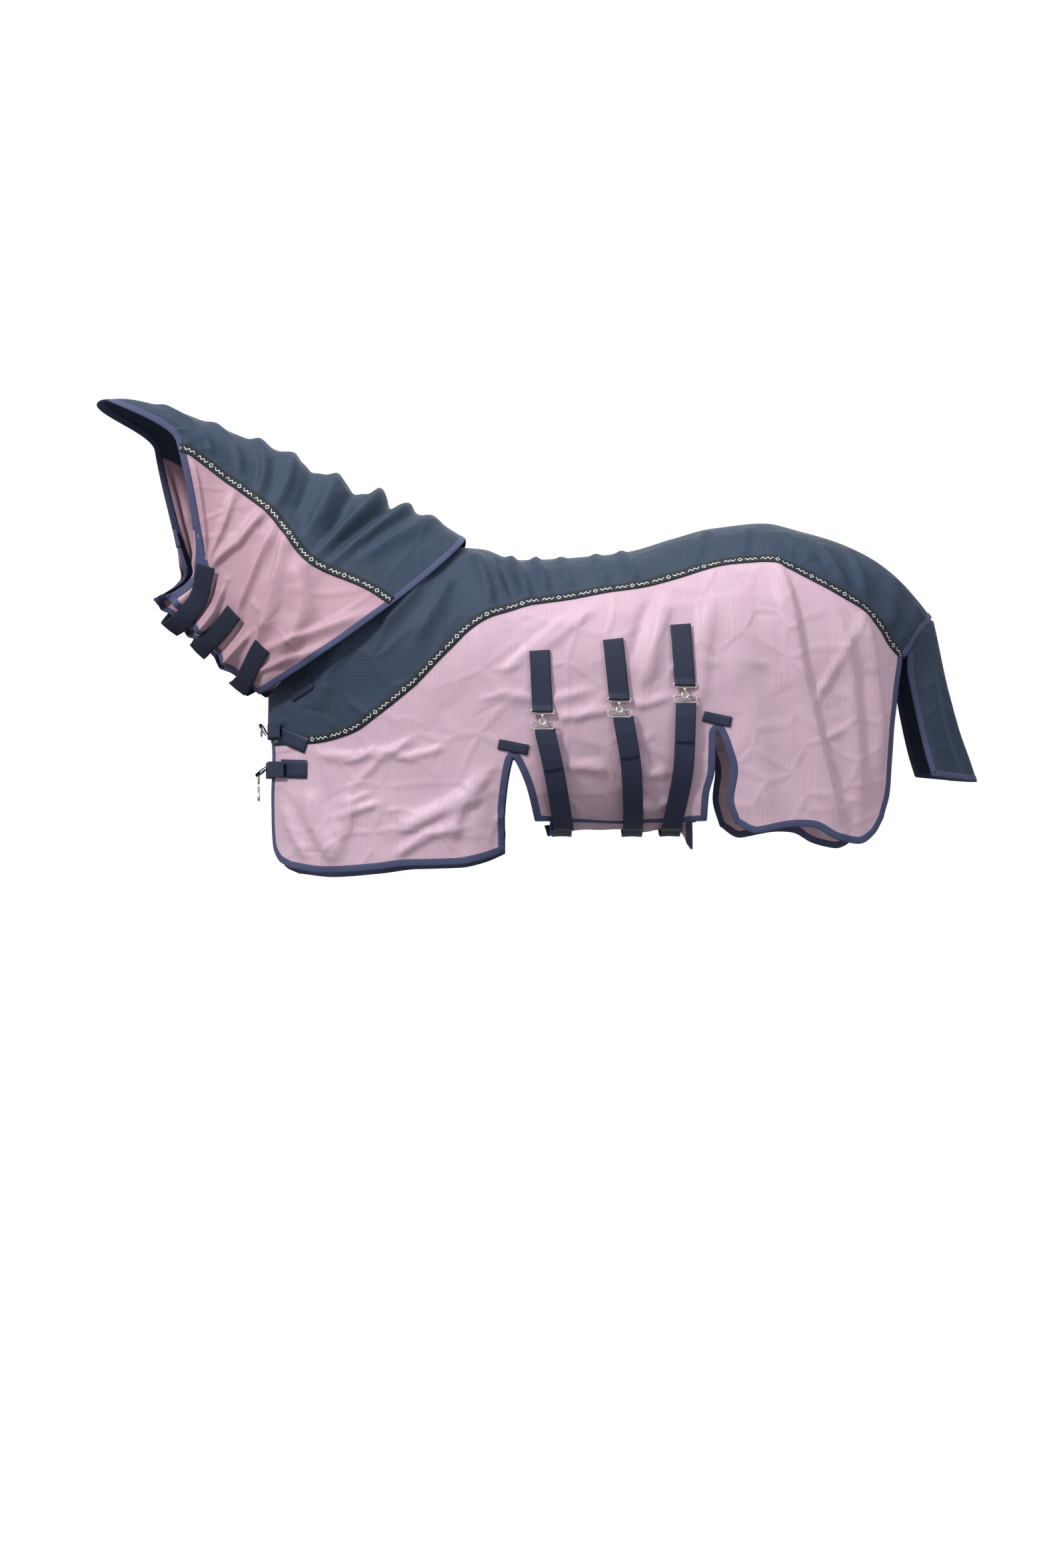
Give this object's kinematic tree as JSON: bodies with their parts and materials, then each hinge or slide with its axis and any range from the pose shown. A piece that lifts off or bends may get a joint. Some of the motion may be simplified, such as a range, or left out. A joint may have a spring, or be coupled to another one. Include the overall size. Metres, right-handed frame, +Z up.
{
  "type": "turnout rug",
  "caption": "Horse turnout rug as worn: navy top panels, pink mesh sides, buckled under-belly surcingles, tail flap and a neck cover up to the ears.",
  "frame": {"origin": "the underside of the back panel on the middle line at the withers, where the rug lies on the horse", "axes": "+Z up, -X towards the horse's head, +X towards its tail, -Y to the horse's left, the side with the surcingle clips"},
  "size_m": [2.2259, 0.6071, 1.2163],
  "materials": {
    "navy_ripstop": "matte ripstop weave",
    "striped_mesh": "fine mesh with narrow vertical stripes",
    "neck_mesh": "fine mesh",
    "trim_tape": "flat woven tape",
    "edge_binding": "folded braid",
    "webbing": "woven polypropylene webbing",
    "hook_and_loop": "woven hook and loop strap",
    "nickel_plate": "bright nickel plate"
  },
  "bodies": {
    "rug": {"back_panel": "navy_ripstop", "belly_flap": "striped_mesh", "chest_strap": "webbing", "front_eye_loop": "nickel_plate", "front_lower_strap": "webbing", "front_upper_strap": "webbing", "left_chest_binding": "edge_binding", "left_front_hem_binding": "edge_binding", "left_front_slit_binding": "edge_binding", "left_front_slit_patch": "webbing", "left_lower_chest_patch": "webbing", "left_middle_hem_binding": "edge_binding", "left_neck_tab": "webbing", "left_rear_hem_binding": "edge_binding", "left_rear_slit_binding": "edge_binding", "left_rear_slit_patch": "webbing", "left_side_panel": "striped_mesh", "left_trim_tape": "trim_tape", "left_upper_chest_patch": "webbing", "middle_eye_loop": "nickel_plate", "middle_lower_strap": "webbing", "middle_upper_strap": "webbing", "rear_eye_loop": "nickel_plate", "rear_lower_strap": "webbing", "rear_upper_strap": "webbing", "right_chest_binding": "edge_binding", "right_front_hem_binding": "edge_binding", "right_front_slit_binding": "edge_binding", "right_front_slit_patch": "webbing", "right_lower_chest_patch": "webbing", "right_middle_hem_binding": "edge_binding", "right_neck_tab": "webbing", "right_rear_hem_binding": "edge_binding", "right_rear_slit_binding": "edge_binding", "right_rear_slit_patch": "webbing", "right_side_panel": "striped_mesh", "right_trim_tape": "trim_tape", "right_upper_chest_patch": "webbing"},
    "neck_cover": {"neck_crest_panel": "navy_ripstop", "left_neck_panel": "neck_mesh", "right_neck_panel": "neck_mesh", "left_neck_trim_tape": "trim_tape", "right_neck_trim_tape": "trim_tape", "left_throat_binding": "edge_binding", "right_throat_binding": "edge_binding", "hood_binding": "edge_binding", "neck_hem_binding": "edge_binding"},
    "poll_closure": {"poll_neck_strap": "hook_and_loop"},
    "throat_closure": {"throat_neck_strap": "hook_and_loop"},
    "chest_closure": {"chest_neck_strap": "hook_and_loop"},
    "tail_flap": {"tail_flap": "navy_ripstop", "tail_flap_binding": "edge_binding"},
    "front_hook": {"front_hook": "nickel_plate"},
    "middle_hook": {"middle_hook": "nickel_plate"},
    "rear_hook": {"rear_hook": "nickel_plate"},
    "chest_ring": {"chest_ring": "nickel_plate"},
    "snap_hook": {"snap_hook": "nickel_plate"},
    "upper_chest_ring": {"upper_chest_ring": "nickel_plate"}
  },
  "joints": [
    {"name": "tail_flap_lift", "type": "hinge", "parent": "rug", "child": "tail_flap", "pos_m": [1.15, 0, -0.19], "axis": [0, -1, 0], "range_deg": [0, 75]},
    {"name": "neck_cover_lower", "type": "hinge", "parent": "rug", "child": "neck_cover", "pos_m": [-0.552, 0, -0.36], "axis": [0, -1, 0], "range_deg": [0, 12]},
    {"name": "poll_strap_open", "type": "hinge", "parent": "neck_cover", "child": "poll_closure", "pos_m": [-0.75459, 0.06143, -0.14496], "axis": [0.5651, 0.326, -0.7579], "range_deg": [0, 80]},
    {"name": "throat_strap_open", "type": "hinge", "parent": "neck_cover", "child": "throat_closure", "pos_m": [-0.69481, 0.09299, -0.21033], "axis": [0.6455, 0.3271, -0.6902], "range_deg": [0, 80]},
    {"name": "chest_strap_open", "type": "hinge", "parent": "neck_cover", "child": "chest_closure", "pos_m": [-0.566, 0.14585, -0.31961], "axis": [0.8059, 0.2413, -0.5407], "range_deg": [0, 80]},
    {"name": "front_hook_swing", "type": "hinge", "parent": "rug", "child": "front_hook", "pos_m": [0.16615, -0.28952, -0.41545], "axis": [-0.9982, 0.0605, 0.0041], "range_deg": [0, 60]},
    {"name": "middle_hook_swing", "type": "hinge", "parent": "rug", "child": "middle_hook", "pos_m": [0.3537, -0.3006, -0.38633], "axis": [-0.9998, 0.0212, 0.0013], "range_deg": [0, 60]},
    {"name": "rear_hook_swing", "type": "hinge", "parent": "rug", "child": "rear_hook", "pos_m": [0.51402, -0.30263, -0.35107], "axis": [-1, -0.0016, -0.0001], "range_deg": [0, 60]},
    {"name": "chest_ring_swing", "type": "hinge", "parent": "rug", "child": "chest_ring", "pos_m": [-0.552, -0.04, -0.57], "axis": [0, 1, 0], "range_deg": [-5, 60]},
    {"name": "snap_hook_swing", "type": "hinge", "parent": "chest_ring", "child": "snap_hook", "pos_m": [-0.552, -0.04, -0.5985], "axis": [0, 1, 0], "range_deg": [-15, 60]},
    {"name": "upper_ring_swing", "type": "hinge", "parent": "rug", "child": "upper_chest_ring", "pos_m": [-0.544, -0.05, -0.449], "axis": [0, 1, 0], "range_deg": [0, 60]}
  ]
}
